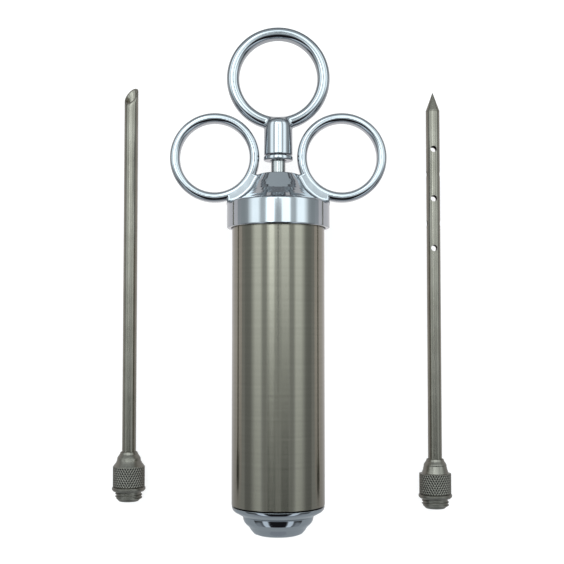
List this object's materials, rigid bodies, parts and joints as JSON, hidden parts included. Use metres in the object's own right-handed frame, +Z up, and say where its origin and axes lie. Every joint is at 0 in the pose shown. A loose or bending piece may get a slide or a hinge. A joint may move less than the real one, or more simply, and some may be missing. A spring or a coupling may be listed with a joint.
{
  "type": "meat injector",
  "caption": "Plunger syringe for marinade: steel barrel, chromed screw cap with finger rings, ring-handled plunger, two screw-in needles beside it.",
  "frame": {"origin": "on the table, under the middle of the injector and its two needles", "axes": "+Y along the barrel from the nose to the thumb ring, +X to the right, +Z up from the table"},
  "size_m": [0.1204, 0.1753, 0.0356],
  "materials": {
    "chrome": "bright chrome plate, mirror polished",
    "brushed_steel": "fine brushing round the barrel",
    "polished_steel": "ground and polished",
    "satin_steel": "satin, drawn tube and turned hub",
    "black_rubber": "matt",
    "silicone": "matt, milky",
    "nylon": "turned, natural"
  },
  "bodies": {
    "barrel": {"barrel_tube": "brushed_steel", "nose_cap": "chrome", "nose_seal_ring": "black_rubber", "needle_socket_washer": "silicone"},
    "cap_seal": {"cap_gasket": "silicone"},
    "cap": {"finger_grip_cap": "chrome", "rod_guide_bush": "nylon"},
    "piston_seal": {"piston_o_ring": "silicone"},
    "plunger": {"plunger_rod": "polished_steel", "rod_lock_collar": "chrome", "thumb_ring": "chrome", "piston_back_plate": "polished_steel", "piston_front_plate": "polished_steel", "piston_lock_washer": "polished_steel", "piston_nut": "polished_steel"},
    "slant_needle": {"slant_needle_tube": "satin_steel", "slant_needle_hub": "satin_steel"},
    "pencil_needle": {"pencil_needle_tube": "satin_steel", "pencil_needle_tip": "satin_steel", "pencil_needle_hub": "satin_steel"}
  },
  "joints": [
    {"name": "cap_lift", "type": "slide", "parent": "barrel", "child": "cap_seal", "axis": [0, 1, 0], "range_m": [0, 0.0038]},
    {"name": "cap_turn", "type": "hinge", "parent": "cap_seal", "child": "cap", "pos_m": [-0.0013, 0.0218, 0.0178], "axis": [0, 1, 0], "range_deg": [0, 900]},
    {"name": "plunger_slide", "type": "slide", "parent": "cap", "child": "piston_seal", "axis": [0, 1, 0], "range_m": [0, 0.086]},
    {"name": "plunger_spin", "type": "hinge", "parent": "piston_seal", "child": "plunger", "pos_m": [-0.0013, -0.06785, 0.0178], "axis": [0, 1, 0], "continuous": true},
    {"name": "slant_needle_lift", "type": "slide", "parent": "barrel", "child": "slant_needle", "axis": [0, 0, 1], "range_m": [0, 0.06]},
    {"name": "pencil_needle_lift", "type": "slide", "parent": "barrel", "child": "pencil_needle", "axis": [0, 0, 1], "range_m": [0, 0.06]}
  ],
  "couplings": [
    {"joint": "cap_lift", "follows": "cap_turn", "m_per_rad": 0.00023873}
  ]
}
